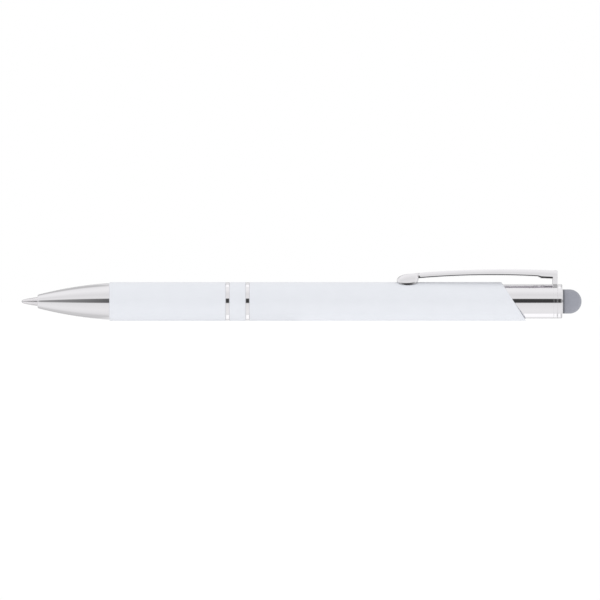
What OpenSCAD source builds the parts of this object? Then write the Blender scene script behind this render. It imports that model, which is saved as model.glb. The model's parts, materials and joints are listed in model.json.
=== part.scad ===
// Retractable ballpoint pen with a stylus on its button, shown with the writing point out.
// The pen lies along X with its point towards -X and its clip up.
// The origin is under the middle of the pen, on the surface that the barrel lies on.
// Stations are distances in millimetres from the writing ball, along the pen.

/* [Pen] */
// Length from the writing ball to the top of the stylus, with the point out
pen_length = 140; // [136:0.5:146]
// Outside diameter of the barrel
barrel_d = 9.7; // [9.6:0.1:10.4]
// Outside diameter of the chrome cap tube
cap_d = 8.6; // [8.5:0.05:8.7]

/* [Nose and point] */
// How far the point stands out of the nose
point_out = 4; // [3:0.25:5]
// Length of the nose that shows
nose_length = 18; // [17:0.5:20]
// Diameter of the nose at its front lip
nose_front_d = 3.3; // [3.1:0.1:3.5]
// Diameter of the nose where it meets the barrel
nose_rear_d = 9.2; // [9:0.1:9.5]
// How far the nose bows out from a straight cone
nose_bow = 0.42; // [0.3:0.02:0.6]
// Diameter of the writing ball
ball_d = 0.7; // [0.6:0.05:0.75]

/* [Barrel] */
// Length of the lower barrel
lower_length = 29; // [27:0.5:32]
// Width of each chrome ring
ring_width = 1; // [0.8:0.1:1.2]
// Width of the white band between the rings
band_width = 4; // [3:0.5:5]
// Slant of the barrel's rear end, in degrees from square
slant = 32.5; // [20:0.5:35]

/* [Clip] */
// Length of the clip from the end of its pad to its rear face
clip_length = 40.2; // [37:0.2:44]
// Width of the clip at its root
clip_root_w = 4.4; // [4:0.1:5]
// Width of the clip next to its pad
clip_tip_w = 3.2; // [3:0.1:3.8]
// Thickness of the clip's strip
clip_t = 1.45; // [1.2:0.05:1.6]
// Rise of the clip's bow over a straight strip
clip_bow = 0.68; // [0.5:0.02:0.8]

/* [Click mechanism] */
// Travel of the button between point out and point in
stroke = 5.5; // [5:0.1:6]
// Further travel when the button is pressed home
overtravel = 1.2; // [0.8:0.1:1.4]
// Number of fins on the rotor, and of ribs in its sleeve
fin_count = 3; // [3:1:4]

/* [Stylus] */
// Diameter of the rubber dome
stylus_d = 6.05; // [5.9:0.05:6.15]
// Height of the rubber dome
stylus_length = 4.65; // [4.2:0.05:5.2]

/* [Refill and spring] */
// Diameter of the ink tube
refill_d = 3; // [2.8:0.1:3]
// Diameter of the spring's wire
wire_d = 0.4; // [0.3:0.05:0.45]
// Number of turns in the spring
spring_turns = 11; // [8:1:13]

/* [Hidden] */
$fn = 72;
arc_steps = 6;
curve_steps = 20;
big = 40;

// Gap in a glued or pressed fit, and running gap of a sliding piece
glue_gap = 0.02;
run_gap = 0.05;
stop_gap = 0.1;

// Colours
white = [0.91, 0.92, 0.94];
chrome = [0.85, 0.85, 0.87];
rubber = [0.6, 0.61, 0.64];
brass = [0.78, 0.64, 0.36];
steel = [0.66, 0.66, 0.68];
plastic = [0.93, 0.92, 0.88];
ink_blue = [0.05, 0.08, 0.3];

// Barrel radii, the round on its ends, and its bore for glued pieces
barrel_r = barrel_d / 2;
barrel_bore_r = cap_d / 2 + glue_gap;
barrel_round = 0.2;
insert_r = barrel_bore_r - glue_gap;

// Stations of the front half
nose_front = point_out;
nose_rear = nose_front + nose_length;
lower_rear = nose_rear + lower_length;
band_front = lower_rear + ring_width;
band_rear = band_front + band_width;
upper_front = band_rear + ring_width;

// Nose: lip, hole for the point, seat and bore for the spring, threaded neck
nose_lip = 0.3;
nose_hole_r = 1.2;
spring_bore_r = 2.2;
spring_seat = nose_front + 5;
neck_r = 3.7;
neck_length = 8;
thread_pitch = 0.75;
thread_depth = 0.3;

// Threaded bushes in the lower barrel, set back from its ends
bush_bore_r = neck_r + glue_gap;
bush_length = 8.2;
bush_inset = 0.5;

// Barrel joint: threaded neck, land under the rings, spigot in the upper barrel
joint_neck_length = 7.5;
joint_land_r = 4.1;
joint_spigot_length = 9;
joint_bore_r = 2.6;
ring_sink = 0.06;
ring_crown = 0.2;
band_round = 0.12;

// Stations of the rear half, worked back from the top of the stylus
button_show = 0.2;
collar_length = 1.15;
clip_ring_t = 1;
dome_base = pen_length - stylus_length;
bush_rear = dome_base - button_show;
clip_rear = bush_rear - collar_length;
cap_rear = clip_rear - clip_ring_t;
cap_length = 29.5;
cap_front = cap_rear - cap_length;
slant_middle = cap_rear - 10;

// Cap tube bore, and the end bush that closes it
cap_bore_r = 3.7;
button_r = 3.1;
bush_spigot_length = 5.1;
bush_front = cap_rear - bush_spigot_length;
collar_round = 0.3;

// Button, with a flange that stops against the end bush and the sleeve
button_bore_r = 2.1;
flange_r = 3.55;
flange_t = 1;
flange_rear = bush_front - stroke - stop_gap;
flange_front = flange_rear - flange_t;

// Cam sleeve and its ribs
sleeve_rear = flange_front - overtravel - stop_gap;
sleeve_length = 16;
sleeve_front = sleeve_rear - sleeve_length;
sleeve_bore_r = 3.1;
rib_front = sleeve_rear - 9;
rib_inner_r = 2.4;
rib_w = 1;

// Rotor: it turns half a fin pitch over the stroke, and its fins pass the ramped rib ends
rotor_r = 2.2;
fin_r = 3;
fin_root_r = 2;
fin_w = 0.9;
fin_length = 3.6;
index_angle = 180 / fin_count;
ramp_angle = atan((rib_inner_r + fin_r) / 2 * index_angle * PI / 180 / stroke);
ramp_gap = 0.2;
rotor_front = rib_front - 6.6;
rotor_pin_r = 1;
rotor_pin_length = 4;
socket_depth = 2.7;

// Push cam: crown, lugs that run between the ribs, and stem in the button
crown_gap = 0.2;
crown_front = rib_front + crown_gap;
crown_notch = 0.6;
lug_front = rib_front + 1;
lug_rear = flange_front - 2;
cam_stem_length = 5;
cam_bore_length = 6;

// Refill: point, collar, tube with crimped ears, plug and ink
refill_r = refill_d / 2;
refill_bore_r = refill_r - 0.4;
refill_rear = rotor_front + socket_depth - stop_gap;
point_r = 1.15;
point_rear = nose_front + 7.5;
stem_r = 0.85;
stem_length = 3.5;
channel_r = 0.25;
collar_rear = point_rear + 2.5;
collar_spigot = 3;
ears_front = spring_seat + 17;
ears_length = 1.2;
ears_span = 4.1;
ears_t = 0.5;
plug_head = 1;
plug_stem = 2.5;
vent_r = 0.3;
ink_length = 69;

// Ball socket: rim of the point, and the ball's play
ball_r = ball_d / 2;
socket_r = ball_r + 0.025;
rim_front = 0.25;
rim_wall = 0.07;

// Spring: mean radius of its coil, and the counts of its swept wire
coil_r = refill_r + 0.1 + wire_d / 2;
coil_rings = 12;
coil_sides = 6;
spring_front = spring_seat + wire_d / 2 + glue_gap;
spring_rear = ears_front - wire_d / 2 - glue_gap;

// Stylus dome wall, and the bead that keeps it on its core
dome_r = stylus_d / 2;
dome_bore_r = 2;
bead_r = 2.2;
bead_from = 0.5;
bead_to = 1.4;
bead_slope = 0.25;
core_stem_length = 6;
core_head = 1.6;

// Clip: heights over the pen's axis, split between mount and arm, and the pad
clip_root_z = 7.75;
clip_pad_z = 6.9;
clip_wall_t = 1.25;
clip_foot_w = 5.1;
clip_foot_sink = 0.15;
clip_root_t = 2.2;
clip_split = clip_rear - 5;
clip_split_gap = 0.03;
clip_step_angle = 28;
pad_length = 5.4;
pad_w = 5.4;
pad_gap = 0.06;
pad_middle = clip_rear - clip_length + pad_length / 2;
pad_t = 2.95;

// Points of a round, from one angle to another
function arc(centre, radius, from, to) = [
    for (i = [0:arc_steps])
        let (angle = from + (to - from) * i / arc_steps)
        centre + radius * [cos(angle), sin(angle)]
];

// Points of a shallow arc from p to q that bulges to the right of the line
function bowed(p, q, bulge) =
    let (
        half = norm(q - p) / 2,
        along = (q - p) / (2 * half),
        across = [along[1], -along[0]],
        radius = (half ^ 2 + bulge ^ 2) / (2 * bulge),
        centre = (p + q) / 2 - across * (radius - bulge),
        reach = asin(half / radius)
    )
    [
        for (i = [0:curve_steps])
            let (angle = reach * (2 * i / curve_steps - 1))
            centre + radius * (across * cos(angle) + along * sin(angle))
    ];

// Outline of a tube as [radius, station] points, with rounded outer edges
function tube_outline(from, to, outer_r, inner_r, round) = concat(
    [[inner_r, from]],
    arc([outer_r - round, from + round], round, -90, 0),
    arc([outer_r - round, to - round], round, 0, 90),
    [[inner_r, to]]
);

// Outline of a threaded neck, drawn as a row of grooves
function threaded(radius, from, length) =
    let (count = floor(length / thread_pitch) - 1)
    concat(
        [
            for (i = [0:count - 1])
                each [
                    [radius, from + i * thread_pitch],
                    [radius - thread_depth, from + (i + 0.5) * thread_pitch]
                ]
        ],
        [[radius, from + count * thread_pitch], [radius, from + length]]
    );

// Solid turned about the pen's axis from [radius, station] points
module turned(outline) {
    rotate([0, 90, 0])
        rotate_extrude()
            polygon(outline);
}

// Plain tube between two stations
module tube(from, to, outer_r, inner_r) {
    turned([[inner_r, from], [outer_r, from], [outer_r, to], [inner_r, to]]);
}

// Plain rod between two stations
module rod(from, to, radius) {
    tube(from, to, radius, 0);
}

// Copies of a feature at the top of the pen, evenly spaced around its axis
module around(count, first = 0) {
    for (i = [0:count - 1])
        rotate([first + 360 * i / count, 0, 0])
            children();
}

// Block from one station to another at the top of the pen, between two radii
module block(from, to, width, low, high) {
    translate([from, -width / 2, low])
        cube([to - from, width, high - low]);
}

// Half space on the point's side of the ramp that fins slide along, moved back by a gap
module ramp_side(gap = 0) {
    translate([rib_front, 0, 0])
        rotate([0, 0, -ramp_angle])
            translate([-big, -2 * big - gap, -big])
                cube(2 * big);
}

// Nose: bowed cone, hole for the point, spring seat and threaded neck
module nose_cone() {
    front_r = nose_front_d / 2;
    color(chrome)
        turned(concat(
            [[nose_hole_r, nose_front]],
            arc([front_r - nose_lip, nose_front + nose_lip], nose_lip, -90, -15),
            bowed([front_r, nose_front + nose_lip], [nose_rear_d / 2, nose_rear], nose_bow),
            threaded(neck_r, nose_rear, neck_length),
            [
                [spring_bore_r, nose_rear + neck_length],
                [spring_bore_r, spring_seat],
                [nose_hole_r, spring_seat]
            ]
        ));
}

// Brass bush in the front of the lower barrel, which takes the nose's thread
module nose_bush() {
    color(brass)
        tube(nose_rear + bush_inset, nose_rear + bush_inset + bush_length, insert_r, bush_bore_r);
}

module lower_barrel() {
    color(white)
        turned(tube_outline(nose_rear, lower_rear, barrel_r, barrel_bore_r, barrel_round));
}

// Brass bush in the rear of the lower barrel, which takes the joint's thread
module joint_bush() {
    color(brass)
        tube(lower_rear - bush_inset - bush_length, lower_rear - bush_inset, insert_r, bush_bore_r);
}

// Connector of the two barrel halves: threaded neck, land under the rings, glued spigot
module barrel_joint() {
    neck_front = lower_rear - joint_neck_length;
    spigot_rear = upper_front + joint_spigot_length;
    color(brass)
        turned(concat(
            [[joint_bore_r, neck_front]],
            threaded(neck_r, neck_front, joint_neck_length),
            [
                [joint_land_r, lower_rear],
                [joint_land_r, upper_front],
                [insert_r, upper_front],
                [insert_r, spigot_rear],
                [joint_bore_r, spigot_rear]
            ]
        ));
}

// Thin ring with a crowned outside, a little below the barrel's surface
module trim_ring(from) {
    inner_r = joint_land_r + glue_gap;
    edge_r = barrel_r - ring_sink - ring_crown;
    color(chrome)
        turned(concat(
            [[inner_r, from]],
            bowed([edge_r, from], [edge_r, from + ring_width], ring_crown),
            [[inner_r, from + ring_width]]
        ));
}

module front_ring() {
    trim_ring(lower_rear);
}

module rear_ring() {
    trim_ring(band_rear);
}

module middle_band() {
    color(white)
        turned(tube_outline(band_front, band_rear, barrel_r, joint_land_r + glue_gap, band_round));
}

// Upper barrel, cut off at a slant where the cap tube comes out
module upper_barrel() {
    color(white)
        difference() {
            turned(tube_outline(upper_front, cap_rear, barrel_r, barrel_bore_r, barrel_round));
            translate([slant_middle, 0, 0])
                rotate([0, -slant, 0])
                    translate([0, -big / 2, -big / 2])
                        cube(big);
        }
}

module cap_tube() {
    color(chrome)
        tube(cap_front, cap_rear, cap_d / 2, cap_bore_r);
}

// Top of the whole clip strip, as [station, height] points from its rear to the pad
clip_top = bowed([clip_rear, clip_root_z], [pad_middle, clip_pad_z], clip_bow);

// Height of the clip's top over the pen's axis at a station
function clip_height(station) = lookup(station, clip_top);

// Strip of the clip, with a given thickness, before it is cut to width
module clip_strip(thickness) {
    under = [for (i = [curve_steps:-1:0]) clip_top[i] - [0, thickness]];
    translate([0, big / 2, 0])
        rotate([90, 0, 0])
            linear_extrude(big)
                polygon(concat(clip_top, under));
}

// Plan of the clip, tapering towards the pad, as a tall block
module clip_plan() {
    linear_extrude(big)
        polygon([
            [clip_rear, -clip_root_w / 2],
            [clip_rear, clip_root_w / 2],
            [pad_middle, clip_tip_w / 2],
            [pad_middle, -clip_tip_w / 2]
        ]);
}

// Upright wall of the clip, which widens from the root down to the ring
module clip_wall() {
    root_y = clip_root_w / 2;
    foot_y = clip_foot_w / 2;
    foot_z = sqrt((cap_d / 2 - clip_foot_sink) ^ 2 - foot_y ^ 2);
    root_z = clip_root_z - clip_root_t;
    top_z = clip_root_z - clip_t / 2;
    translate([clip_rear - clip_wall_t, 0, 0])
        rotate([90, 0, 90])
            linear_extrude(clip_wall_t)
                polygon([
                    [-foot_y, foot_z],
                    [foot_y, foot_z],
                    [root_y, root_z],
                    [root_y, top_z],
                    [-root_y, top_z],
                    [-root_y, root_z]
                ]);
}

// Thick root of the clip, whose underside slopes up to the strip
module clip_root() {
    difference() {
        intersection() {
            clip_strip(clip_root_t);
            clip_plan();
            block(clip_split, clip_rear, big, 0, big);
        }
        translate([clip_split, -big / 2, clip_height(clip_split) - clip_t])
            rotate([0, clip_step_angle, 0])
                translate([-big / 2, 0, -big])
                    cube(big);
    }
}

// Fixed end of the clip: ring held by the end bush, upright wall and thick root
module clip_mount() {
    color(chrome) {
        tube(cap_rear, clip_rear, cap_d / 2, cap_bore_r + glue_gap);
        difference() {
            union() {
                clip_wall();
                clip_root();
            }
            rod(cap_front, clip_rear + big, cap_bore_r + glue_gap);
            rod(cap_front, cap_rear, cap_d / 2 + glue_gap);
        }
    }
}

// Free end of the clip: bowed strip with a round pad, hollowed to rest on the barrel
module clip_arm() {
    color(chrome)
        union() {
            intersection() {
                clip_strip(clip_t);
                clip_plan();
                block(pad_middle, clip_split - clip_split_gap, big, 0, big);
            }
            difference() {
                translate([pad_middle, 0, clip_pad_z - pad_t / 2])
                    scale([pad_length / 2, pad_w / 2, pad_t / 2])
                        sphere(1);
                rod(pad_middle - pad_length, pad_middle + pad_length, barrel_r + pad_gap);
            }
        }
}

// Collar that closes the cap tube and guides the button
module end_bush() {
    color(chrome)
        turned(concat(
            [
                [button_r + run_gap, bush_front],
                [cap_bore_r - glue_gap, bush_front],
                [cap_bore_r - glue_gap, clip_rear],
                [cap_d / 2, clip_rear]
            ],
            arc([cap_d / 2 - collar_round, bush_rear - collar_round], collar_round, 0, 90),
            [[button_r + run_gap, bush_rear]]
        ));
}

// Sleeve with ribs whose front ends are ramps for the rotor's fins
module cam_sleeve() {
    color(plastic)
        union() {
            tube(sleeve_front, sleeve_rear, cap_bore_r - glue_gap, sleeve_bore_r);
            around(fin_count)
                difference() {
                    block(rib_front - 2 * rib_w, sleeve_rear, rib_w, rib_inner_r, sleeve_bore_r + 2 * run_gap);
                    ramp_side();
                }
        }
}

// Plunger that shows at the rear when the point is in
module push_button() {
    color(chrome)
        turned([
            [button_bore_r, flange_front],
            [flange_r, flange_front],
            [flange_r, flange_rear],
            [button_r, flange_rear],
            [button_r, dome_base],
            [button_bore_r, dome_base]
        ]);
}

// Outline of the bead that holds the dome on its core
function bead(base, low_r, high_r) = [
    [low_r, base],
    [low_r, base + bead_from],
    [high_r, base + bead_from + bead_slope],
    [high_r, base + bead_to - bead_slope],
    [low_r, base + bead_to]
];

// Hollow rubber dome
module stylus_dome() {
    dome_middle = pen_length - dome_r;
    outside = arc([0, dome_middle], dome_r, 90, 0);
    inside = arc([0, dome_middle], dome_bore_r, 0, 90);
    color(rubber)
        turned(concat(
            outside,
            [[dome_r, dome_base]],
            bead(dome_base, dome_bore_r, bead_r),
            inside
        ));
}

// Plug in the button that the dome is pressed onto
module stylus_core() {
    head_rear = dome_base + core_head;
    color(plastic)
        turned(concat(
            [
                [0, dome_base - core_stem_length],
                [button_bore_r - glue_gap, dome_base - core_stem_length],
                [button_bore_r - glue_gap, dome_base]
            ],
            bead(dome_base, dome_bore_r - glue_gap, bead_r - glue_gap),
            [[dome_bore_r - glue_gap, head_rear], [0, head_rear]]
        ));
}

// Plunger of the mechanism: toothed crown, lugs between the ribs, stem in the button
module push_cam() {
    color(plastic)
        difference() {
            union() {
                rod(crown_front, flange_front, rotor_r);
                rod(flange_front, flange_front + cam_stem_length, button_bore_r - glue_gap);
                around(fin_count, index_angle)
                    block(lug_front, lug_rear, rib_w, fin_root_r, fin_r);
            }
            rod(crown_front - 1, crown_front + cam_bore_length, rotor_pin_r + stop_gap);
            around(2 * fin_count)
                translate([crown_front, 0, 0])
                    rotate([0, 0, 45])
                        block(-crown_notch / 2, crown_notch / 2, crown_notch, 0, big);
        }
}

// Rotor that latches the refill: socket for the refill, fins and a guide pin
module index_rotor() {
    color(plastic)
        difference() {
            union() {
                rod(rotor_front, rib_front, rotor_r);
                rod(rib_front - 1, rib_front + rotor_pin_length, rotor_pin_r);
                around(fin_count)
                    intersection() {
                        block(rib_front - fin_length, crown_front - stop_gap, fin_w, fin_root_r, fin_r);
                        ramp_side(ramp_gap);
                    }
            }
            rod(rotor_front - 1, rotor_front + socket_depth, refill_r + run_gap);
        }
}

// Writing point with the socket of the ball and an ink channel
module refill_point() {
    rim_r = sqrt(socket_r ^ 2 - (ball_r - rim_front) ^ 2) + rim_wall;
    color(steel)
        difference() {
            turned([
                [0, rim_front],
                [rim_r, rim_front],
                [0.75, 1.65],
                [1, 3.1],
                [point_r, 4.3],
                [point_r, point_rear],
                [stem_r, point_rear],
                [stem_r, point_rear + stem_length],
                [0, point_rear + stem_length]
            ]);
            translate([ball_r, 0, 0])
                sphere(socket_r);
            rod(ball_r, point_rear + stem_length + 1, channel_r);
        }
}

module writing_ball() {
    color(steel)
        translate([ball_r, 0, 0])
            sphere(ball_r);
}

// Collar that joins the point to the ink tube
module refill_collar() {
    spigot_rear = collar_rear + collar_spigot;
    stem_rear = point_rear + stem_length;
    color(brass)
        turned([
            [stem_r + glue_gap, point_rear],
            [refill_r, point_rear],
            [refill_r, collar_rear],
            [refill_bore_r - glue_gap, collar_rear],
            [refill_bore_r - glue_gap, spigot_rear],
            [channel_r, spigot_rear],
            [channel_r, stem_rear],
            [stem_r + glue_gap, stem_rear]
        ]);
}

// Ink tube with two crimped ears that the spring pushes on
module refill_tube() {
    tube_rear = refill_rear - plug_head;
    color(steel)
        difference() {
            union() {
                rod(collar_rear, tube_rear, refill_r);
                block(ears_front, ears_front + ears_length, ears_span, -ears_t / 2, ears_t / 2);
            }
            rod(collar_rear - 1, tube_rear + 1, refill_bore_r);
        }
}

// Vented plug in the rear of the ink tube
module refill_plug() {
    head_front = refill_rear - plug_head;
    color(plastic)
        turned([
            [vent_r, head_front - plug_stem],
            [refill_bore_r - glue_gap, head_front - plug_stem],
            [refill_bore_r - glue_gap, head_front],
            [refill_r, head_front],
            [refill_r, refill_rear],
            [vent_r, refill_rear]
        ]);
}

module ink() {
    ink_front = collar_rear + collar_spigot;
    color(ink_blue)
        rod(ink_front, ink_front + ink_length, refill_bore_r - glue_gap);
}

// Coil spring, swept along its helix as one closed tube
module return_spring() {
    rings = spring_turns * coil_rings;
    last = rings * coil_sides;
    points = [
        for (i = [0:rings])
            let (
                turn = 360 * i / coil_rings,
                station = spring_front + (spring_rear - spring_front) * i / rings
            )
            for (j = [0:coil_sides - 1])
                let (
                    side = 360 * j / coil_sides,
                    radius = coil_r + wire_d / 2 * cos(side)
                )
                [station + wire_d / 2 * sin(side), radius * cos(turn), radius * sin(turn)]
    ];
    walls = [
        for (i = [0:rings - 1], j = [0:coil_sides - 1])
            let (
                a = i * coil_sides + j,
                b = i * coil_sides + (j + 1) % coil_sides
            )
            each [[a, b, b + coil_sides], [a, b + coil_sides, a + coil_sides]]
    ];
    ends = [
        for (j = [1:coil_sides - 2])
            each [[0, j + 1, j], [last, last + j, last + j + 1]]
    ];
    color(steel)
        polyhedron(points, concat(walls, ends));
}

// Sets a piece in the pen's frame
module placed() {
    translate([-pen_length / 2, 0, barrel_r])
        children();
}

placed() nose_cone();
placed() nose_bush();
placed() lower_barrel();
placed() joint_bush();
placed() barrel_joint();
placed() front_ring();
placed() middle_band();
placed() rear_ring();
placed() upper_barrel();
placed() cap_tube();
placed() clip_mount();
placed() clip_arm();
placed() end_bush();
placed() cam_sleeve();
placed() push_button();
placed() stylus_dome();
placed() stylus_core();
placed() push_cam();
placed() index_rotor();
placed() refill_point();
placed() refill_collar();
placed() refill_tube();
placed() refill_plug();
placed() ink();
placed() writing_ball();
placed() return_spring();
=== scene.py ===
# Looks of a retractable ballpoint pen with a stylus on its button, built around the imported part.
# The pen lies along X. An outline point is a (station, radius) pair in millimetres about its axis.
import json
import math

import bmesh
import bpy
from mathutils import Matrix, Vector
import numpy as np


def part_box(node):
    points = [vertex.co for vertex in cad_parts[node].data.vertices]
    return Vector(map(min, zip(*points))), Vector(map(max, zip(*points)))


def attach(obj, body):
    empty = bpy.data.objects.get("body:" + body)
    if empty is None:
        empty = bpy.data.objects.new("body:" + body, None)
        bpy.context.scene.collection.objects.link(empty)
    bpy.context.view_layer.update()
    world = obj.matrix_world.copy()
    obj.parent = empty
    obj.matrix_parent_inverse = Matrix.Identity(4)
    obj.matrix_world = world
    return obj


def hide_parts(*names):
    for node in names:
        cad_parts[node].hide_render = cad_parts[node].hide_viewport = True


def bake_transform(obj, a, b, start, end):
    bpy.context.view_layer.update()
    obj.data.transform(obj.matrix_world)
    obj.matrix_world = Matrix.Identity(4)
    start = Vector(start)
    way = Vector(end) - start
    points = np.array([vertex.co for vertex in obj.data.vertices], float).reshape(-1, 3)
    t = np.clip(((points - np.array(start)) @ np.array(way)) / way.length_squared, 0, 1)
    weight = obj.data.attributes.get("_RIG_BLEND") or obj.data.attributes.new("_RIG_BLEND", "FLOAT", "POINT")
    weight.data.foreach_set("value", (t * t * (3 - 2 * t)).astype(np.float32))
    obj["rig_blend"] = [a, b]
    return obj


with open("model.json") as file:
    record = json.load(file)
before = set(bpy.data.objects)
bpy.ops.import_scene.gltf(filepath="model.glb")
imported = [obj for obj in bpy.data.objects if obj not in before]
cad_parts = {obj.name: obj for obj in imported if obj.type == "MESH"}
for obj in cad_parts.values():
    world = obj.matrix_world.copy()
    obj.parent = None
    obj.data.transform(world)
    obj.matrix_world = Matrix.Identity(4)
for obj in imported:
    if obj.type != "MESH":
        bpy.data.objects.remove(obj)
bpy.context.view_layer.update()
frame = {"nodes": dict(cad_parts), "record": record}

# Units, and how finely round forms are drawn
MM = 0.001
TOUCH = 0.0008 * MM
TURN_STEPS = 96
BOW_STEPS = 28
CROWN_STEPS = 8
ROUND_STEPS = 5
EDGE_STEPS = 4
CREASE_STEPS = 3
COIL_STEPS = 28
WIRE_SIDES = 12
DISC_SIDES = 64
SADDLE_SIDES = 160

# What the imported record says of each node
node_slot = {part["node"]: part["material_slot"] for part in frame["record"]["subparts"]}
node_body = {
    node: body
    for body, nodes in frame["record"]["behaviour"]["bodies"].items()
    for node in nodes
}


def front(node):
    """Front station of a node along the pen, in mm"""
    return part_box(node)[0].x / MM


def rear(node):
    """Rear station of a node along the pen, in mm"""
    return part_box(node)[1].x / MM


def reach(node):
    """Outside radius of a turned node, in mm"""
    low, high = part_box(node)
    return (high.y - low.y) / 2 / MM


axis_z = (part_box("lower_barrel")[0].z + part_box("lower_barrel")[1].z) / 2


# Modelling helpers

def new_piece(name, add, **settings):
    """Add a primitive with nothing else selected, name it and open it with all of it selected"""
    bpy.ops.object.select_all(action="DESELECT")
    add(**settings)
    piece = bpy.context.object
    piece.name = name
    piece.data.name = name
    bpy.ops.object.transform_apply(location=True, rotation=True, scale=True)
    bpy.ops.object.mode_set(mode="EDIT")
    bpy.ops.mesh.select_mode(type="VERT")
    bpy.ops.mesh.select_all(action="SELECT")
    return piece


def pick(piece, rule):
    """Select the vertices whose place passes a rule"""
    bpy.ops.mesh.select_mode(type="VERT")
    mesh = bmesh.from_edit_mesh(piece.data)
    for vertex in mesh.verts:
        vertex.select_set(rule(vertex.co))
    mesh.select_flush_mode()
    bmesh.update_edit_mesh(piece.data)


def pick_edges(piece, rule):
    """Select the edges that pass a rule"""
    bpy.ops.mesh.select_mode(type="EDGE")
    bpy.ops.mesh.select_all(action="DESELECT")
    mesh = bmesh.from_edit_mesh(piece.data)
    for edge in mesh.edges:
        if rule(edge):
            edge.select_set(True)
    mesh.select_flush_mode()
    bmesh.update_edit_mesh(piece.data)


def mend():
    """Merge doubled vertices of the open piece, drop what is left loose and turn its faces outwards"""
    bpy.ops.mesh.select_mode(type="VERT")
    bpy.ops.mesh.select_all(action="SELECT")
    bpy.ops.mesh.remove_doubles(threshold=TOUCH)
    bpy.ops.mesh.delete_loose()
    bpy.ops.mesh.select_all(action="SELECT")
    bpy.ops.mesh.normals_make_consistent(inside=False)


def apply_modifier(piece, name, kind, **settings):
    """Add a modifier to a piece and apply it"""
    bpy.context.view_layer.objects.active = piece
    modifier = piece.modifiers.new(name, kind)
    for key, value in settings.items():
        setattr(modifier, key, value)
    bpy.ops.object.modifier_apply(modifier=modifier.name)


def smooth(piece, sharp=35):
    """Close edit mode and shade the piece smooth, with edges past an angle left sharp"""
    bpy.ops.object.mode_set(mode="OBJECT")
    bpy.ops.object.shade_smooth_by_angle(angle=math.radians(sharp))
    apply_modifier(piece, "even_shading", "WEIGHTED_NORMAL", keep_sharp=True)


def fit(piece, *nodes):
    """Give a piece the finish, the body and the place of the nodes that it stands for"""
    slot = node_slot[nodes[0]]
    piece.data.materials.clear()
    piece.data.materials.append(finishes[slot])
    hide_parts(*nodes)
    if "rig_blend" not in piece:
        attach(piece, node_body[nodes[0]])


def on_outline(point):
    """Place of an outline point straight above the pen's axis, in metres"""
    return Vector((point[0] * MM, 0, axis_z + point[1] * MM))


def bowed(start, end, bulge, steps=BOW_STEPS):
    """Outline points of a shallow bow that bulges outwards between two points"""
    along = Vector(end) - Vector(start)
    across = Vector((-along.y, along.x)).normalized()
    points = []
    for step in range(steps + 1):
        share = step / steps
        rise = 4 * share * (1 - share) * bulge
        points.append(Vector(start) + share * along + rise * across)
    return points


def arc(centre, radius, first, last, steps):
    """Outline points of a round stretch about a point on the axis, between two angles in degrees"""
    angles = [math.radians(first + (last - first) * step / steps) for step in range(steps + 1)]
    return [(centre + radius * math.cos(angle), radius * math.sin(angle)) for angle in angles]


def grooves(radius, start, length, pitch=0.75, depth=0.3):
    """Outline points of a threaded neck, drawn as a row of grooves"""
    count = int(length / pitch) - 1
    points = []
    for turn in range(count):
        points.append((start + turn * pitch, radius))
        points.append((start + (turn + 0.5) * pitch, radius - depth))
    return points + [(start + count * pitch, radius), (start + length, radius)]


def turned(name, outline, rounds=(), closed=True):
    """Draw an outline point by point, round some of its corners and spin it about the pen's axis"""
    piece = new_piece(name, bpy.ops.mesh.primitive_plane_add, size=MM)
    bpy.ops.mesh.merge(type="CENTER")
    bpy.ops.transform.translate(value=on_outline(outline[0]))
    for here, there in zip(outline, outline[1:]):
        step = on_outline(there) - on_outline(here)
        bpy.ops.mesh.extrude_vertices_move(TRANSFORM_OT_translate={"value": step})
    if closed:
        ends = [on_outline(outline[0]), on_outline(outline[-1])]
        pick(piece, lambda place: any((place - end).length < TOUCH for end in ends))
        bpy.ops.mesh.edge_face_add()
    for corner, size in rounds:
        pick(piece, lambda place: (place - on_outline(corner)).length < TOUCH)
        bpy.ops.mesh.bevel(offset=size * MM, segments=ROUND_STEPS, affect="VERTICES")
    bpy.ops.mesh.select_all(action="SELECT")
    bpy.ops.mesh.spin(steps=TURN_STEPS, angle=math.tau, center=(0, 0, axis_z), axis=(1, 0, 0))
    mend()
    return piece


def tube(name, node, bore, round_front, round_rear):
    """Finished tube in the place of a node, with rounded outer ends"""
    start, end, outer = front(node), rear(node), reach(node)
    outline = [(start, bore), (start, outer), (end, outer), (end, bore)]
    rounds = [((start, outer), round_front), ((end, outer), round_rear)]
    piece = turned(name, outline, rounds)
    smooth(piece)
    fit(piece, node)


# Shader helpers

def add_node(tree, kind, inputs=None, **settings):
    """Add a shader node to a tree, and set or link its inputs"""
    made = tree.nodes.new(kind)
    for key, value in settings.items():
        setattr(made, key, value)
    for key, value in (inputs or {}).items():
        if isinstance(value, bpy.types.NodeSocket):
            tree.links.new(value, made.inputs[key])
        else:
            made.inputs[key].default_value = value
    return made


def math_node(tree, operation, *values):
    """Add a maths node and return what it gives"""
    return add_node(tree, "ShaderNodeMath", dict(enumerate(values)), operation=operation).outputs[0]


def mixed(tree, share, low, high):
    """Mix two values by a share, and return what it gives"""
    return math_node(tree, "MULTIPLY_ADD", share, math_node(tree, "SUBTRACT", high, low), low)


def between(tree, share, low, high):
    """Mix two colours, each a triple or a socket, by a share, and return what it gives"""
    ends = [(*colour, 1) if isinstance(colour, tuple) else colour for colour in (low, high)]
    inputs = {0: share, 6: ends[0], 7: ends[1]}
    return add_node(tree, "ShaderNodeMix", inputs, data_type="RGBA").outputs[2]


def ranged(tree, value, low, high, new_low=0.0, new_high=1.0, kind="LINEAR"):
    """Map a value from one range to another, and return what it gives"""
    inputs = {"Value": value, "From Min": low, "From Max": high, "To Min": new_low, "To Max": new_high}
    return add_node(tree, "ShaderNodeMapRange", inputs, interpolation_type=kind).outputs["Result"]


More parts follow.
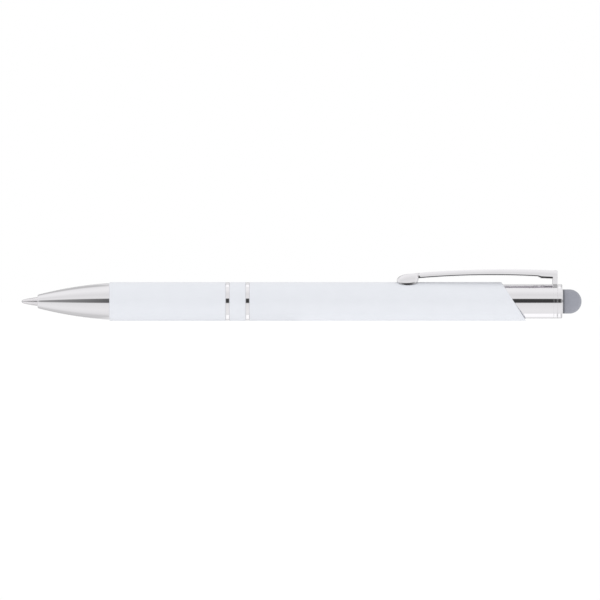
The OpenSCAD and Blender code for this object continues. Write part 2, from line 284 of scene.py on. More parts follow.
def noise(tree, place, scale, detail):
    """Add a noise and return what it gives"""
    inputs = {"Vector": place, "Scale": scale, "Detail": detail}
    return add_node(tree, "ShaderNodeTexNoise", inputs).outputs["Fac"]


def scaled(tree, place, scale):
    """Scale a place along each axis, and return what it gives"""
    return add_node(tree, "ShaderNodeMapping", {"Vector": place, "Scale": scale}).outputs[0]


# Effects that the finishes share

def effect(name, inputs, outputs):
    """Start a shader node group that is given a place and some values, and that puts out others"""
    group = bpy.data.node_groups.new(name, "ShaderNodeTree")
    group.interface.new_socket("Place", in_out="INPUT", socket_type="NodeSocketVector")
    for in_out, sockets in (("INPUT", inputs), ("OUTPUT", outputs)):
        for socket in sockets:
            group.interface.new_socket(socket, in_out=in_out, socket_type="NodeSocketFloat")
    given = add_node(group, "NodeGroupInput").outputs
    put = add_node(group, "NodeGroupOutput").inputs
    return group, given, put


def fine_grain():
    """Close grain of a paint, moulding or rubber: an even tone, cloudier patches and a height"""
    group, given, put = effect(
        "fine_grain", ["Grains per m", "Patches per m"], ["Grain", "Patches", "Height"])
    place, grains_per_m = given["Place"], given["Grains per m"]
    pit_depth = 0.4
    grain = noise(group, place, grains_per_m, detail=3.0)
    patches = noise(group, place, given["Patches per m"], detail=4.0)
    pits = add_node(group, "ShaderNodeTexVoronoi", {"Vector": place, "Scale": grains_per_m})
    height = math_node(group, "MULTIPLY_ADD", pits.outputs["Distance"], pit_depth, grain)
    group.links.new(ranged(group, grain, 0.3, 0.7), put["Grain"])
    group.links.new(ranged(group, patches, 0.3, 0.7), put["Patches"])
    group.links.new(height, put["Height"])
    return group


def polish_marks():
    """Wipe marks and smears on polished metal, drawn out along the pen, with a faint ripple"""
    group, given, put = effect("polish_marks", ["Marks per m"], ["Marks", "Smears", "Ripple"])
    smears_per_m, ripples_per_m = 160.0, 420.0
    drawn_out = scaled(group, given["Place"], (0.12, 1.0, 1.0))
    marks = noise(group, drawn_out, given["Marks per m"], detail=6.0)
    smears = noise(group, given["Place"], smears_per_m, detail=2.0)
    ripple = noise(group, drawn_out, ripples_per_m, detail=1.0)
    group.links.new(ranged(group, marks, 0.42, 0.72), put["Marks"])
    group.links.new(ranged(group, smears, 0.35, 0.7), put["Smears"])
    group.links.new(ripple, put["Ripple"])
    return group


def turning_lines():
    """Fine lines that a lathe leaves around a turned piece, uneven from place to place"""
    group, given, put = effect("turning_lines", ["Lines per m"], ["Lines", "Patches"])
    patches_per_m = 300.0
    drawn_round = scaled(group, given["Place"], (1.0, 0.04, 0.04))
    lines = noise(group, drawn_round, given["Lines per m"], detail=4.0)
    patches = noise(group, given["Place"], patches_per_m, detail=3.0)
    group.links.new(ranged(group, lines, 0.35, 0.65), put["Lines"])
    group.links.new(ranged(group, patches, 0.3, 0.7), put["Patches"])
    return group


effects = {"grain": fine_grain(), "marks": polish_marks(), "lines": turning_lines()}


def use_effect(tree, name, **values):
    """Place an effect in a material, reading the piece's own coordinates"""
    place = add_node(tree, "ShaderNodeTexCoord").outputs["Object"]
    inputs = {key.replace("_", " "): value for key, value in values.items()}
    inputs["Place"] = place
    return add_node(tree, "ShaderNodeGroup", inputs, node_tree=effects[name]).outputs


# Finishes, one for each slot of the record

def new_finish(name, **shader_values):
    """Start a material and return it with its tree and its shader"""
    material = bpy.data.materials.new(name)
    material.use_nodes = True
    tree = material.node_tree
    shader = tree.nodes["Principled BSDF"]
    for key, value in shader_values.items():
        shader.inputs[key.replace("_", " ")].default_value = value
    return material, tree, shader


def coat(tree, shader, colour, gloss, rough_low, rough_high):
    """Give a material its colour, and let a value vary its roughness between two levels"""
    roughness = ranged(tree, gloss, 0, 1, rough_low, rough_high)
    tree.links.new(colour, shader.inputs["Base Color"])
    tree.links.new(roughness, shader.inputs["Roughness"])


def raise_surface(tree, shader, height, distance, strength):
    """Let a height bump the surface of a material"""
    inputs = {"Height": height, "Distance": distance, "Strength": strength}
    bump = add_node(tree, "ShaderNodeBump", inputs).outputs[0]
    tree.links.new(bump, shader.inputs["Normal"])


def soft_white():
    """Satin soft-touch paint, a cool white with a close grain"""
    material, tree, shader = new_finish("soft_white", IOR=1.46, Sheen_Weight=0.3, Sheen_Roughness=0.4)
    grain = use_effect(tree, "grain", Grains_per_m=5200.0, Patches_per_m=240.0)
    colour = between(tree, grain["Patches"], (0.778, 0.796, 0.842), (0.794, 0.812, 0.858))
    coat(tree, shader, colour, grain["Grain"], 0.36, 0.46)
    raise_surface(tree, shader, grain["Height"], 0.02 * MM, 0.12)
    return material


def chrome():
    """Bright chrome plate, with faint wipe marks and a ripple too small to see but in its gloss"""
    material, tree, shader = new_finish("chrome", Metallic=1.0)
    marks = use_effect(tree, "marks", Marks_per_m=2600.0)
    colour = between(tree, marks["Smears"], (0.822, 0.811, 0.832), (0.836, 0.825, 0.844))
    coat(tree, shader, colour, marks["Marks"], 0.035, 0.075)
    raise_surface(tree, shader, marks["Ripple"], 0.01 * MM, 0.05)
    return material


def grey_rubber():
    """Matt conductive rubber with a moulded grain, a slight bloom and a painted shade at its foot, where it
    meets the collar
    """
    material, tree, shader = new_finish("grey_rubber", IOR=1.45, Sheen_Weight=0.12, Sheen_Roughness=0.4)
    grain = use_effect(tree, "grain", Grains_per_m=6400.0, Patches_per_m=420.0)
    dome_colour = between(tree, grain["Patches"], (0.296, 0.306, 0.352), (0.332, 0.341, 0.388))
    # Painted shade: the rubber's colour is darkened over its first 0.2 to 0.6 mm from the base, standing in
    # for the shadow against the collar
    foot_shade_colour = (0.18, 0.187, 0.212)
    place = add_node(tree, "ShaderNodeTexCoord").outputs["Object"]
    along = add_node(tree, "ShaderNodeSeparateXYZ", {"Vector": place}).outputs["X"]
    foot = front("stylus_dome") * MM
    above_foot = ranged(tree, along, foot + 0.2 * MM, foot + 0.6 * MM, kind="SMOOTHSTEP")
    colour = between(tree, above_foot, foot_shade_colour, dome_colour)
    coat(tree, shader, colour, grain["Grain"], 0.6, 0.78)
    raise_surface(tree, shader, grain["Height"], 0.03 * MM, 0.25)
    return material


def turned_metal(name, dark, light, lines_per_m, rough_low, rough_high):
    """Metal as it comes off a lathe"""
    material, tree, shader = new_finish(name, Metallic=1.0)
    lines = use_effect(tree, "lines", Lines_per_m=lines_per_m)
    colour = between(tree, lines["Patches"], dark, light)
    coat(tree, shader, colour, lines["Lines"], rough_low, rough_high)
    raise_surface(tree, shader, lines["Lines"], 0.01 * MM, 0.2)
    return material


def natural_plastic():
    """Unpainted moulded plastic with a faint grain"""
    material, tree, shader = new_finish(
        "natural_plastic", IOR=1.5, Subsurface_Weight=0.1, Subsurface_Scale=0.5 * MM)
    grain = use_effect(tree, "grain", Grains_per_m=2600.0, Patches_per_m=180.0)
    colour = between(tree, grain["Patches"], (0.8, 0.785, 0.72), (0.84, 0.825, 0.765))
    coat(tree, shader, colour, grain["Grain"], 0.42, 0.55)
    raise_surface(tree, shader, grain["Height"], 0.02 * MM, 0.15)
    return material


def ink_finish():
    """Thick blue ink, glossy, a little denser in places"""
    material, tree, shader = new_finish("ink", IOR=1.4)
    grain = use_effect(tree, "grain", Grains_per_m=900.0, Patches_per_m=300.0)
    colour = between(tree, grain["Patches"], (0.008, 0.014, 0.075), (0.016, 0.026, 0.12))
    coat(tree, shader, colour, grain["Grain"], 0.08, 0.16)
    return material


finishes = {
    "soft_white": soft_white(),
    "chrome": chrome(),
    "grey_rubber": grey_rubber(),
    "brass": turned_metal("brass", (0.56, 0.39, 0.13), (0.64, 0.46, 0.18), 5200.0, 0.22, 0.34),
    "natural_plastic": natural_plastic(),
    "steel": turned_metal("steel", (0.48, 0.48, 0.5), (0.56, 0.56, 0.575), 7000.0, 0.2, 0.32),
    "nickel_silver": turned_metal(
        "nickel_silver", (0.79, 0.77, 0.79), (0.85, 0.83, 0.85), 6000.0, 0.14, 0.26),
    "ink": ink_finish(),
}


# Front half: nose, point, spring, lower barrel, rings and band

barrel_r = reach("lower_barrel")
barrel_bore, barrel_round = 4.32, 0.1
trim_bore = 4.12
nose_front = front("nose_cone")
nose_shown = front("lower_barrel")
nose_r, nose_bow = reach("nose_cone"), 0.42
lip_r, lip_length, lip_rise = 1.65, 0.3, 0.12
point_hole = 1.2
thread_r = 3.7
spring_bore = 2.2
spring_seat = nose_front + 5


def nose():
    """Bowed cone with a rounded lip, a hole for the point, a spring seat and a threaded neck"""
    lip_round, hole_round, rear_round = 0.22, 0.1, 0.04
    rear_hold = 0.15
    thread_rear = rear("nose_cone")
    bow = bowed((nose_front + lip_length, lip_r + lip_rise), (nose_shown, nose_r), nose_bow)
    # One more point near the rear edge keeps the edge's rounding from tilting the bow's shading
    bow.insert(-1, bow[-1].lerp(bow[-2], rear_hold))
    outline = [(nose_front, point_hole), (nose_front, lip_r)] + bow
    outline += grooves(thread_r, nose_shown, thread_rear - nose_shown)
    outline += [(thread_rear, spring_bore), (spring_seat, spring_bore), (spring_seat, point_hole)]
    rounds = [
        ((nose_front, lip_r), lip_round),
        ((nose_front, point_hole), hole_round),
        ((nose_shown, nose_r), rear_round),
    ]
    piece = turned("nose", outline, rounds)
    smooth(piece)
    fit(piece, "nose_cone")


def point():
    """Writing point: rim crimped round the ball, stepped cone and the stem for its collar"""
    start, end, outer = front("refill_point"), rear("refill_point"), reach("refill_point")
    shoulder = nose_front + 7.5
    socket_gap, rim_wall = 0.025, 0.07
    channel, stem_r = 0.25, 0.85
    cone_rounds, shoulder_round = (0.03, 0.12, 0.15, 0.3), 0.12
    ball_low, ball_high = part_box("writing_ball")
    ball_middle = (ball_low.x + ball_high.x) / 2 / MM
    socket_r = reach("writing_ball") + socket_gap
    rim_angle = math.degrees(math.acos((start - ball_middle) / socket_r))
    channel_angle = math.degrees(math.asin(channel / socket_r))
    socket = arc(ball_middle, socket_r, channel_angle, rim_angle, steps=10)
    rim_r = socket[-1][1] + rim_wall
    cone = [(start, rim_r), (start + 1.4, 0.75), (start + 2.85, 1.0), (start + 4.05, outer)]
    stem = [(shoulder, outer), (shoulder, stem_r), (end, stem_r), (end, channel)]
    rounds = [*zip(cone, cone_rounds), (stem[0], shoulder_round)]
    piece = turned("point", socket + cone + stem, rounds)
    smooth(piece, 30)
    fit(piece, "refill_point")


def spring():
    """Coil spring with closed end turns, between the nose's seat and the ears of the ink tube"""
    low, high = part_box("return_spring")
    wire_r = 0.2
    coil_r = reach("return_spring") - wire_r
    start = low.x / MM + wire_r
    length = (high.x - low.x) / MM - 2 * wire_r
    closed_pitch = 2.15 * wire_r
    open_turns = 9
    open_pitch = (length - 2 * closed_pitch) / open_turns
    stretches = []
    for turns, pitch in ((1, closed_pitch), (open_turns, open_pitch), (1, closed_pitch)):
        piece = new_piece(
            "spring", bpy.ops.mesh.primitive_circle_add, vertices=WIRE_SIDES, radius=wire_r * MM,
            location=(start * MM, 0, coil_r * MM), rotation=(math.pi / 2, 0, 0),
        )
        bpy.ops.object.mode_set(mode="OBJECT")
        apply_modifier(
            piece, "coil", "SCREW", axis="X", angle=math.tau, screw_offset=pitch * MM, iterations=turns,
            steps=COIL_STEPS, render_steps=COIL_STEPS,
        )
        stretches.append(piece)
        start += turns * pitch
    for piece in stretches:
        piece.select_set(True)
    bpy.ops.object.join()
    piece = bpy.context.object
    piece.name = "spring"
    piece.location.z = axis_z
    bpy.ops.object.transform_apply(location=True)
    bpy.ops.object.mode_set(mode="EDIT")
    mend()
    pick_edges(piece, lambda edge: edge.is_boundary)
    bpy.ops.mesh.fill_holes(sides=0)
    mend()
    smooth(piece)
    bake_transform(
        piece, "barrel", "refill",
        start=(spring_seat * MM, 0, axis_z), end=(spring_seat * MM + length * MM, 0, axis_z),
    )
    fit(piece, "return_spring")


def white_tubes():
    """Lower barrel and the band between the rings"""
    tube("lower_tube", "lower_barrel", barrel_bore, barrel_round, barrel_round)
    tube("ring_sleeve", "middle_band", trim_bore, barrel_round, barrel_round)


def trim_ring(name, ring_node):
    """Thin chrome ring with a crowned outside"""
    start, end = front(ring_node), rear(ring_node)
    crown, edge_round = 0.015, 0.07
    edge_r = reach(ring_node) - crown
    outline = bowed((start, edge_r), (end, edge_r), crown, CROWN_STEPS)
    outline = [(start, trim_bore)] + outline + [(end, trim_bore)]
    rounds = [((start, edge_r), edge_round), ((end, edge_r), edge_round)]
    piece = turned(name, outline, rounds)
    smooth(piece)
    fit(piece, ring_node)


def upper_tube():
    """Upper barrel, cut off at a slant and rounded along the cut"""
    slant = math.radians(32.5)
    cut_round, same_radius = 0.14, 0.1
    start, end = front("upper_barrel"), rear("upper_barrel")
    past = end + 1
    outline = [(start, barrel_bore), (start, barrel_r), (past, barrel_r), (past, barrel_bore)]
    piece = turned("upper_tube", outline, [((start, barrel_r), barrel_round)])
    middle = Vector(((end - barrel_r * math.tan(slant)) * MM, 0, axis_z))
    facing = Vector((math.cos(slant), 0, math.sin(slant)))
    bpy.ops.mesh.select_all(action="SELECT")
    bpy.ops.mesh.bisect(plane_co=middle, plane_no=facing, clear_outer=True, use_fill=False)
    pick_edges(piece, lambda edge: edge.is_boundary)
    bpy.ops.mesh.bridge_edge_loops()

    def along_rim(edge):
        places = [vertex.co for vertex in edge.verts]
        radii = [Vector((place.y, place.z - axis_z)).length for place in places]
        on_cut = all(abs((place - middle).dot(facing)) < TOUCH for place in places)
        return on_cut and abs(radii[0] - radii[1]) < same_radius * MM

    mend()
    pick_edges(piece, along_rim)
    bpy.ops.mesh.bevel(offset=cut_round * MM, segments=EDGE_STEPS, affect="EDGES")
    mend()
    smooth(piece)
    fit(piece, "upper_barrel")


# Rear half: cap, collar, button, stylus and clip

cap_r, cap_bore = reach("cap_tube"), 3.7
button_r = 3.1
collar_bore = button_r + 0.05
seam_round = 0.02


def cap():
    """Chrome tube that comes out of the slanted barrel end"""
    hidden_round = 0.05
    tube("cap", "cap_tube", cap_bore, hidden_round, seam_round)


def collar():
    """Rounded collar that closes the cap and guides the button"""
    start, seam, end = front("end_bush"), rear("clip_mount"), rear("end_bush")
    spigot_r = 3.68
    rear_round, bore_round = 0.25, 0.08
    outline = [
        (start, collar_bore), (start, spigot_r), (seam, spigot_r),
        (seam, cap_r), (end, cap_r), (end, collar_bore),
    ]
    rounds = [((seam, cap_r), seam_round), ((end, cap_r), rear_round), ((end, collar_bore), bore_round)]
    piece = turned("collar", outline, rounds)
    smooth(piece)
    fit(piece, "end_bush")


def button():
    """Chrome plunger with the flange that keeps it in"""
    start, end, flange_r = front("push_button"), rear("push_button"), reach("push_button")
    flange_end = start + 1
    bore = 2.1
    edge_round = 0.12
    outline = [
        (start, bore), (start, flange_r), (flange_end, flange_r),
        (flange_end, button_r), (end, button_r), (end, bore),
    ]
    edges = [(start, flange_r), (flange_end, flange_r), (end, button_r)]
    piece = turned("button", outline, [(edge, edge_round) for edge in edges])
    smooth(piece)
    fit(piece, "push_button")


def stylus():
    """Hollow rubber dome, with the recess that grips its core"""
    base, tip, dome_r = front("stylus_dome"), rear("stylus_dome"), reach("stylus_dome")
    middle = tip - dome_r
    bore, recess_r, slope = 2.0, 2.2, 0.25
    recess_start, recess_end = base + 0.5, base + 1.4
    foot_round, bore_round = 0.16, 0.08
    outline = arc(middle, dome_r, 0, 90, steps=24)
    outline += [(base, dome_r), (base, bore), (recess_start, bore), (recess_start + slope, recess_r)]
    outline += [(recess_end - slope, recess_r), (recess_end, bore)]
    outline += arc(middle, bore, 90, 0, steps=16)
    rounds = [((base, dome_r), foot_round), ((base, bore), bore_round)]
    piece = turned("stylus", outline, rounds, closed=False)
    smooth(piece)
    fit(piece, "stylus_dome")


# Clip, from its rear face to the tip of its pad, with heights over the pen's axis
clip_rear = rear("clip_mount")
clip_tip = front("clip_arm")
clip_bow, clip_belly = 0.68, 0.15
pad_length, pad_w, pad_t = 5.4, 5.4, 2.95
pad_top = 6.9
pad_middle = clip_tip + pad_length / 2
pad_rear = clip_tip + pad_length
pad_power, neck_power = 3.5, 10
neck_middle = pad_rear + 0.15
neck_length = 0.4
saddle_r, saddle_gap = 5.0, 0.06
strip_w, strip_t, strip_rear_t = 3.2, 1.42, 1.75
root_w, root_t, root_top = 4.4, 2.2, 7.745
root_front, step_length = 59.0, 0.94
end_round, corner_round, crease_round = 0.3, 0.12, 0.04

# Heights of the upright bands at the clip's sides, and the most that a band and a belly take up
strip_band, root_band, pad_band, neck_band = 0.16, 0.38, 0.3, 0.7
band_limit, belly_limit = 0.15, 0.3

# Wall and ring that hold the clip, with the wall's half widths and heights from the root down
clip_ring_front = rear("cap_tube")
wall_t, wall_inset = 1.25, 0.02
wall_flare = [
    (2.03, 6.5), (2.19, 6.07), (2.5, 4.5), (2.52, 4.4), (2.536, 4.3), (2.67, 3.45), (2.82, 2.5),
]
ring_core_r, ring_bore, ring_inset = 2, 3.72, 0.01


def clamped(share):
    """A share kept between 0 and 1"""
    return min(1.0, max(0.0, share))


def pad_swell(station, power=2):
    """Share of the pad's full size at a station, 0 outside the pad, squarer with a higher power"""
    away = abs(station - pad_middle) / (pad_length / 2)
    return max(0.0, 1 - away ** power) ** (1 / power)


def root_share(station):
    """How far a station is up the step from the strip to the thick root"""
    return clamped((station - root_front) / step_length)


def end_inset(station, size):
    """How far a rounding of the clip's rear end draws it in at a station"""
    depth = clamped((clip_rear - station) / size)
    return size * (1 - math.sqrt(1 - (1 - depth) ** 2))


def clip_section(station):
    """Half width, top and bottom of the clip at a station"""
    arm_length = clip_rear - pad_middle
    share = (clip_rear - station) / arm_length
    swell = pad_swell(station)
    pad_half, pad_z = pad_w / 2 * pad_swell(station, pad_power), pad_top - pad_t / 2
    pad_low = pad_z - pad_t / 2 * swell
    if station < pad_middle:
        pad_slope = (root_top - pad_top + 4 * clip_bow) / arm_length
        return pad_half, pad_z + (pad_t / 2 + pad_slope * (station - pad_middle)) * swell, pad_low
    top = root_top + (pad_top - root_top) * share + 4 * clip_bow * share * (1 - share)
    strip_share = clamped((station - pad_rear) / (root_front - pad_rear))
    thickness = strip_t + (strip_rear_t - strip_t) * strip_share ** 2
    low = top - thickness - (root_t - strip_rear_t) * root_share(station)
    half = (root_w + (strip_w - root_w) * share) / 2 - end_inset(station, corner_round)
    half = (half ** neck_power + pad_half ** neck_power) ** (1 / neck_power)
    return half, top - end_inset(station, end_round), min(low, pad_low) if swell else low


def clip_shape(station):
    """Half width, rise of the sides, upright band and belly under them at a station"""
    half, top, bottom = clip_section(station)
    height = top - bottom
    swell = pad_swell(station)
    band = strip_band + (root_band - strip_band) * root_share(station) + (pad_band - strip_band) * swell
    band = min(band, band_limit * height)
    neck_share = clamped(1 - abs(station - neck_middle) / neck_length)
    band += (neck_band - strip_band) * neck_share ** 2 * (3 - 2 * neck_share)
    belly = min(clip_belly, belly_limit * height)
    middle = bottom + belly + band / 2
    return {"half": half, "rise": height - belly - band, "band": band, "belly": belly, "middle": middle}


def spread(first, last, count):
    """Even steps from one station to another, without the first"""
    return [first + (last - first) * step / count for step in range(1, count + 1)]


def clip_stations():
    """Stations of the clip's sections, closest at its rear end, at the step and from the neck on"""
    end_count, strip_count, neck_count, pad_count = 5, 26, 10, 36
    wall_front = clip_rear - wall_t
    strip_end = neck_middle + neck_length
    pad_start = pad_rear + 0.02
    end_turns = [math.radians(90 * i / end_count) for i in range(end_count + 1)]
    pad_turns = [math.radians(180 * i / pad_count) for i in range(pad_count)]
    end = [clip_rear - end_round * (1 - math.cos(turn)) for turn in end_turns]
    root = [wall_front, wall_front - 0.1, wall_front - 0.3, root_front + 2 * step_length]
    step = [root_front + step_length * share for share in (1.0, 0.75, 0.5, 0.25, 0.0)]
    strip = spread(root_front, strip_end, strip_count)
    neck = spread(strip_end, pad_start, neck_count)
    pad = [pad_middle + pad_length / 2 * math.cos(turn) for turn in pad_turns]
    return end + root + step + strip + neck + pad


def clip_disc():
    """Disc as a start for the clip's sections, with a flat top and upright bands at its sides"""
    crease, lip = math.radians(56.25), math.radians(11.25)
    piece = new_piece(
        "clip", bpy.ops.mesh.primitive_circle_add, vertices=DISC_SIDES, radius=MM, fill_type="NGON",
        rotation=(0, math.pi / 2, 0),
    )
    flat_z, lip_z = math.sin(crease) * MM, math.sin(lip) * MM
    band_z = root_band / 2 * MM
    pick(piece, lambda place: place.z > flat_z - TOUCH)
    bpy.ops.transform.resize(value=(1, 1, 0), center_override=(0, 0, flat_z))
    for side in (-1, 1):
        pick(piece, lambda place: abs(place.z) < lip_z + TOUCH and place.y * side > 0)
        bpy.ops.transform.resize(
            value=(1, 0, band_z / lip_z), center_override=(0, side * math.cos(lip) * MM, 0))
        pick(piece, lambda place: place.z * side > lip_z + TOUCH)
        bpy.ops.transform.translate(value=(0, 0, -side * (lip_z - band_z)))
    crease_y, crease_z = math.cos(crease) * MM, flat_z - lip_z + band_z
    pick(piece, lambda place: abs(place.z - crease_z) < TOUCH and abs(place.y) > crease_y - TOUCH)
    bpy.ops.mesh.bevel(offset=crease_round * MM, segments=CREASE_STEPS, affect="VERTICES")
    bpy.ops.mesh.select_all(action="SELECT")
    rise, belly = (flat_z - lip_z) / MM, 1 - lip_z / MM
    return piece, {"half": math.cos(lip), "rise": rise, "band": root_band, "belly": belly}


def shape_section(piece, station, old, new):
    """Scale the section that was just made from its old half width, rise, band and belly to new ones"""
    middle = new["middle"] * MM + axis_z
    old_edge, new_edge = old["band"] / 2 * MM, new["band"] / 2 * MM
    resize = bpy.ops.transform.resize

    def in_section(place):
        return abs(place.x - station * MM) < TOUCH

    def scale_band():
        pick(piece, lambda place: in_section(place) and abs(place.z - middle) < old_edge + TOUCH)
        resize(value=(1, 1, new_edge / old_edge), center_override=(station * MM, 0, middle))

    def scale_beyond(side, part):
        pick(piece, lambda place: in_section(place) and (place.z - middle) * side > old_edge + TOUCH)
        bpy.ops.transform.translate(value=(0, 0, side * (new_edge - old_edge)))
        edge = (station * MM, 0, middle + side * new_edge)
        resize(value=(1, 1, new[part] / old[part]), center_override=edge)

    pick(piece, in_section)
    resize(value=(1, new["half"] / old["half"], 1), center_override=(station * MM, 0, middle))
    shrinking = new_edge < old_edge
    if shrinking:
        scale_band()
    scale_beyond(1, "rise")
    scale_beyond(-1, "belly")
    if not shrinking:
        scale_band()
    pick(piece, in_section)


def clip_strip():
    """Root, bowed strip and pad, drawn out section by section from a disc"""
    stations = clip_stations()
    piece, disc = clip_disc()
    shape = clip_shape(stations[0])
    bpy.ops.transform.translate(value=(stations[0] * MM, 0, shape["middle"] * MM + axis_z))
    shape_section(piece, stations[0], disc, shape)
    for here, there in zip(stations, stations[1:]):
        new_shape = clip_shape(there)
        step = Vector((there - here, 0, new_shape["middle"] - shape["middle"])) * MM
        bpy.ops.mesh.extrude_region_move(TRANSFORM_OT_translate={"value": step})
        shape_section(piece, there, shape, new_shape)
        shape = new_shape
    bpy.ops.mesh.merge(type="CENTER")
    mend()
    bpy.ops.object.mode_set(mode="OBJECT")
    return piece


def clip_wall():
    """Upright wall that flares from the root down to the ring"""
    half, head = wall_flare[0]
    wall_rear = clip_rear - wall_inset
    wall_middle = (wall_rear - wall_t / 2) * MM
    foot_z = wall_flare[-1][1] * MM + axis_z
    sharp_turn = 0.8
    piece = new_piece(
        "clip_wall", bpy.ops.mesh.primitive_plane_add, size=MM,
        location=(wall_middle, 0, head * MM + axis_z),
    )
    bpy.ops.transform.resize(value=(wall_t, 2 * half, 1))
    for here, there in zip(wall_flare, wall_flare[1:]):
        drop = (0, 0, (there[1] - here[1]) * MM)
        bpy.ops.mesh.extrude_region_move(TRANSFORM_OT_translate={"value": drop})
        bpy.ops.transform.resize(value=(1, there[0] / here[0], 1))
    mend()

    def on_corner(edge):
        ends = [vertex.co for vertex in edge.verts]
        off_foot = max(end.z for end in ends) > foot_z + TOUCH
        same_side = (ends[0].x - wall_middle) * (ends[1].x - wall_middle) > 0
        return off_foot and same_side and edge.calc_face_angle(0) > sharp_turn

    pick_edges(piece, on_corner)
    bpy.ops.mesh.bevel(offset=corner_round * MM, segments=EDGE_STEPS, affect="EDGES")
    mend()
    bpy.ops.object.mode_set(mode="OBJECT")
    return piece


def clip_ring():
    """Ring that holds the clip between the cap and the collar, still without its bore"""
    start, end = clip_ring_front, clip_rear - ring_inset
    outline = [(start, ring_core_r), (start, cap_r), (end, cap_r), (end, ring_core_r)]
    piece = turned("clip_ring", outline, [(outline[1], seam_round), (outline[2], seam_round)])
    bpy.ops.object.mode_set(mode="OBJECT")
    return piece


def clip_clearance():
    """Room for the cap and for the collar's spigot, to be cut out of the clip"""
    clear_r = cap_r + 0.02
    start, step, end = clip_ring_front - 5, clip_ring_front, clip_rear + 5
    outline = [(start, 0), (start, clear_r), (step, clear_r)]
    outline += [(step, ring_bore), (end, ring_bore), (end, 0)]
    piece = turned("clip_clearance", outline, closed=False)
    bpy.ops.object.mode_set(mode="OBJECT")
    return piece


def pad_saddle():
    """Hollow under the pad, a little wider than the barrel that the pad rests on"""
    piece = new_piece(
        "pad_saddle", bpy.ops.mesh.primitive_cylinder_add, vertices=SADDLE_SIDES, radius=saddle_r * MM,
        depth=2 * pad_length * MM, rotation=(0, math.pi / 2, 0),
        location=(pad_middle * MM, 0, (barrel_r + saddle_gap - saddle_r) * MM + axis_z),
    )
    bpy.ops.object.mode_set(mode="OBJECT")
    return piece


def clip():
    """Bowed clip with a round pad, and the wall and ring that hold its root"""
    piece = clip_strip()
    tools = {
        "UNION": [clip_wall(), clip_ring()],
        "DIFFERENCE": [clip_clearance(), pad_saddle()],
    }
    bpy.ops.object.select_all(action="DESELECT")
    piece.select_set(True)
    for operation, others in tools.items():
        for other in others:
            apply_modifier(
                piece, other.name, "BOOLEAN", operation=operation, object=other, solver="EXACT")
            bpy.data.objects.remove(other)
    bpy.ops.object.mode_set(mode="EDIT")
    mend()
    smooth(piece)
    # The bend runs from 2 mm inside the root to 3 mm out along the strip
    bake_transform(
        piece, "barrel", "clip",
        start=((root_front + 2) * MM, 0, axis_z), end=((root_front - 3) * MM, 0, axis_z),
    )
    fit(piece, "clip_mount", "clip_arm")


nose()
point()
spring()
white_tubes()
trim_ring("front_trim", "front_ring")
trim_ring("rear_trim", "rear_ring")
upper_tube()
cap()
collar()
button()
stylus()
clip()

# Inner pieces keep their own shape and get their finish
for name, part in frame["nodes"].items():
    if not part.hide_render:
        for material_slot in part.material_slots:
            material_slot.material = finishes[node_slot[name]]


# Studio: a light tent along the pen, with a dark slot at each long side

def ramp(tree, share, stops):
    """Add a ramp over angles in degrees, from stops of (angle, brightness), and return its value"""
    made = add_node(tree, "ShaderNodeValToRGB", {"Fac": share})
    elements = made.color_ramp.elements
    while len(elements) > 1:
        elements.remove(elements[-1])
    for index, (angle, brightness) in enumerate(stops):
        place = (angle + 180) / 360
        element = elements[0] if index == 0 else elements.new(place)
        element.position = place
        element.color = (brightness, brightness, brightness, 1)
    return made.outputs["Color"]


def tent_greys(tree):
    """Greys that polished metal sees, by the way that it looks around the pen and along it"""
    end_level = 0.95
    ways = add_node(tree, "ShaderNodeTexCoord").outputs["Generated"]
    split = add_node(tree, "ShaderNodeSeparateXYZ", {"Vector": ways}).outputs
    towards = math_node(tree, "MULTIPLY", split["Y"], -1.0)
    turn = math_node(tree, "ARCTAN2", split["Z"], towards)
    share = ranged(tree, turn, -math.pi, math.pi)
    aside = math_node(tree, "ABSOLUTE", split["X"])
    middle_walls = ramp(tree, share, [
        (-180, 1.0), (-165, 1.0), (-158, 0.79), (-152, 0.87), (-134, 0.89), (-124, 1.19), (-93, 1.21),
        (-88, 0.94), (-60, 0.96), (-20, 0.9), (-8, 0.84), (20, 0.9), (30, 0.9), (45, 0.86), (60, 0.93),
        (75, 1.0), (95, 1.0), (108, 1.21), (115, 1.19), (128, 0.89), (152, 0.9), (158, 0.83),
        (162, 0.95), (180, 1.0),
    ])
    side_walls = ramp(tree, share, [
        (-180, 1.0), (-165, 1.0), (-152, 0.6), (-134, 0.62), (-124, 0.7), (-109, 0.69), (-99, 0.78),
        (-90, 0.87), (-80, 0.92), (-60, 0.96), (-20, 0.9), (-8, 0.84), (20, 0.9), (30, 0.9), (45, 0.86),
        (60, 0.93), (75, 1.0), (95, 1.0), (111, 0.92), (121, 0.62), (150, 0.6), (162, 0.95), (180, 1.0),
    ])
    near_slot = ramp(tree, share, [(-11, 0.0), (-7, 1.0), (16, 1.0), (20, 0.0)])
    far_slot = ramp(tree, share, [(-177, 1.0), (-175, 0.0), (164, 0.0), (167, 1.0)])
    near_share = math_node(tree, "MULTIPLY", near_slot, ranged(tree, aside, 0.0, 1.0, 0.95, 0.2))
    far_share = math_node(tree, "MULTIPLY", far_slot, ranged(tree, aside, 0.0, 0.4, 0.9, 0.0))
    slot_share = math_node(tree, "ADD", near_share, far_share)
    walls = mixed(tree, ranged(tree, aside, 0.05, 0.09), middle_walls, side_walls)
    closed_off = mixed(tree, ranged(tree, aside, 0.5, 0.8), walls, end_level)
    return math_node(tree, "MULTIPLY", closed_off, math_node(tree, "SUBTRACT", 1.0, slot_share))


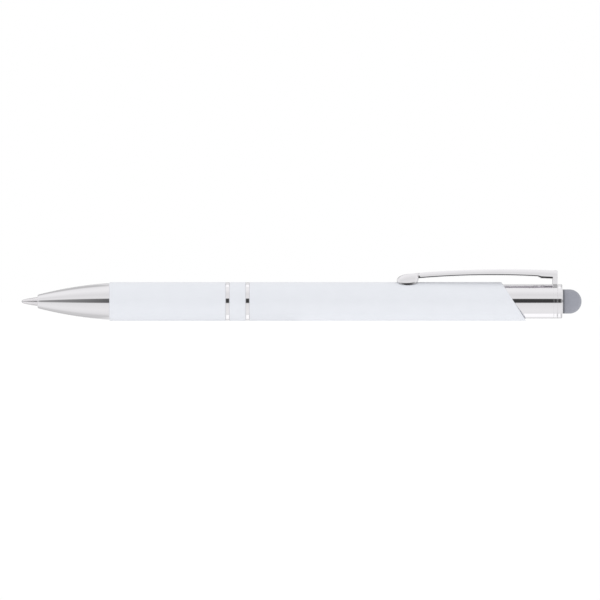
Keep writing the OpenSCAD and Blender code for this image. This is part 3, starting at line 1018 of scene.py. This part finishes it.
def light_tent():
    """World that is plain white, and that polished metal sees as a tent of soft greys"""
    studio_level = 0.97
    world = bpy.data.worlds.new("light_tent")
    bpy.context.scene.world = world
    world.use_nodes = True
    tree = world.node_tree
    tree.nodes.clear()
    tent = tent_greys(tree)
    ray = add_node(tree, "ShaderNodeLightPath").outputs
    lit = mixed(tree, ray["Is Glossy Ray"], studio_level, tent)
    seen = math_node(tree, "MAXIMUM", ray["Is Camera Ray"], ray["Is Transmission Ray"])
    strength = math_node(tree, "MAXIMUM", lit, seen)
    background = add_node(tree, "ShaderNodeBackground", {"Color": (1, 1, 1, 1), "Strength": strength})
    add_node(tree, "ShaderNodeOutputWorld", {"Surface": background.outputs[0]})


def floor():
    """Pale floor that keeps the pen's shadow"""
    floor_size, drop = 60, 0.02
    bpy.ops.object.select_all(action="DESELECT")
    bpy.ops.mesh.primitive_plane_add(size=floor_size, location=(0, 0, -drop * MM))
    plane = bpy.context.object
    plane.name = "floor"
    plane.visible_glossy = False
    material = bpy.data.materials.new("pale_floor")
    material.use_nodes = True
    tree = material.node_tree
    tree.nodes.clear()
    seen = add_node(tree, "ShaderNodeLightPath").outputs["Is Camera Ray"]
    matt_share = ranged(tree, seen, 0, 1, 0.2, 0.6)
    glow_share = ranged(tree, seen, 0, 1, 0.88, 0.43)
    matt = add_node(tree, "ShaderNodeBsdfDiffuse", {"Color": matt_share}).outputs[0]
    glow_inputs = {"Color": (1, 1, 1, 1), "Strength": glow_share}
    glow = add_node(tree, "ShaderNodeEmission", glow_inputs).outputs[0]
    both = add_node(tree, "ShaderNodeAddShader", {0: matt, 1: glow}).outputs[0]
    add_node(tree, "ShaderNodeOutputMaterial", {"Surface": both})
    plane.data.materials.append(material)


def lamp():
    """One large soft lamp overhead"""
    light = bpy.data.lights.new("overhead_softbox", "AREA")
    light.shape = "RECTANGLE"
    light.size = 0.9
    light.size_y = 0.6
    light.energy = 0.3
    holder = bpy.data.objects.new("overhead_softbox", light)
    holder.location = (0, -0.1, 0.7)
    holder.visible_glossy = False
    bpy.context.scene.collection.objects.link(holder)


def camera():
    """Level camera on the pen's side, far off with a long lens"""
    field_width = 150 * MM
    aim_x, aim_z = -0.39, 5.225
    lens = bpy.data.cameras.new("camera")
    lens.lens = 1000
    lens.sensor_width = 36
    holder = bpy.data.objects.new("camera", lens)
    distance = field_width * lens.lens / lens.sensor_width
    holder.location = (aim_x * MM, -distance, aim_z * MM)
    holder.rotation_euler = (math.pi / 2, 0, 0)
    bpy.context.scene.collection.objects.link(holder)
    bpy.context.scene.camera = holder


light_tent()
floor()
lamp()
camera()
bpy.context.scene.view_settings.view_transform = "Standard"
